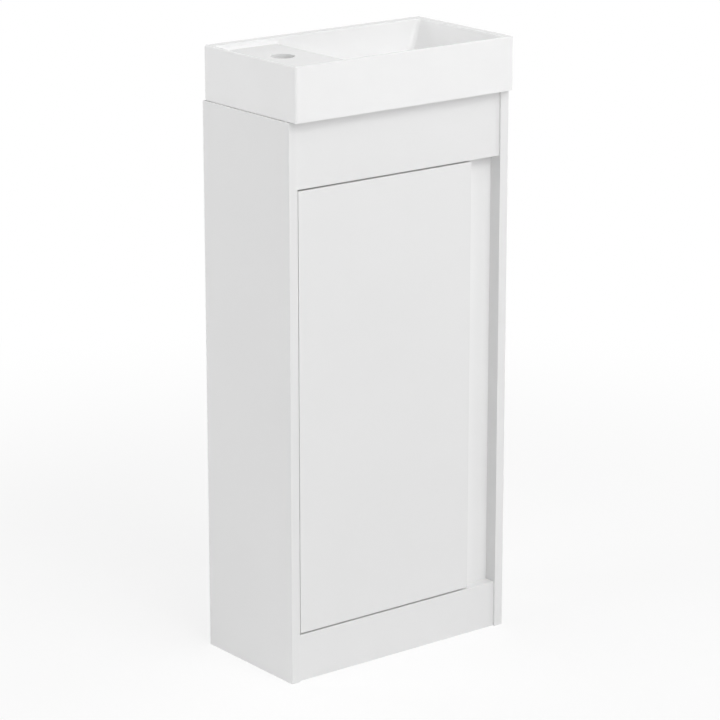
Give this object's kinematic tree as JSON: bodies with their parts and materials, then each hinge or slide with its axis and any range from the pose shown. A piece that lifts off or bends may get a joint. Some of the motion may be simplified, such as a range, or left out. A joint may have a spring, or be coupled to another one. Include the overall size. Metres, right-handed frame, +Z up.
{
  "type": "vanity unit",
  "caption": "Narrow freestanding bathroom vanity unit with a hinged door beside an open finger recess and a ceramic basin with a side tap deck.",
  "frame": {"origin": "on the floor, under the middle of the unit's overall box", "axes": "+Z up, the door faces -Y, the tap deck is at -X"},
  "size_m": [0.4, 0.2176, 0.91],
  "materials": {
    "white_board": "satin white lacquer on fibreboard",
    "white_ceramic": "gloss white glaze",
    "white_silicone": "satin",
    "clear_rubber": "satin",
    "beech": "bare",
    "zinc_alloy": "as cast",
    "white_plastic": "moulded",
    "plated_steel": "zinc plated",
    "nickel_plated_zinc": "nickel plated",
    "nickel_plated_magnet": "nickel plated"
  },
  "bodies": {
    "cabinet": {"left_side_panel": "white_board", "right_side_panel": "white_board", "base_panel": "white_board", "plinth": "white_board", "top_fascia_rail": "white_board", "rear_top_rail": "white_board", "rear_bottom_rail": "white_board", "handle_recess_panel": "white_board", "shelf": "white_board", "shelf_pins": "plated_steel", "cam_housings": "zinc_alloy", "cam_bolts": "plated_steel", "dowels": "beech", "basin": "white_ceramic", "basin_seal": "white_silicone", "hinge_arm_lower": "plated_steel", "hinge_arm_upper": "plated_steel", "hinge_plate_lower": "plated_steel", "hinge_plate_upper": "plated_steel", "hinge_plate_screws": "plated_steel", "hinge_arm_screws": "plated_steel", "catch_sleeve": "white_plastic", "catch_magnet": "nickel_plated_magnet"},
    "door_leaf": {"door": "white_board", "door_bumpers": "clear_rubber", "hinge_cup_lower": "nickel_plated_zinc", "hinge_cup_upper": "nickel_plated_zinc", "hinge_pin_lower": "plated_steel", "hinge_pin_upper": "plated_steel", "hinge_cup_screws": "plated_steel", "catch_strike": "plated_steel", "catch_strike_screw": "plated_steel"}
  },
  "joints": [
    {"name": "door_swing", "type": "hinge", "parent": "cabinet", "child": "door_leaf", "pos_m": [-0.1605, -0.084, 0.40175], "axis": [0, 0, -1], "range_deg": [0, 95]}
  ]
}
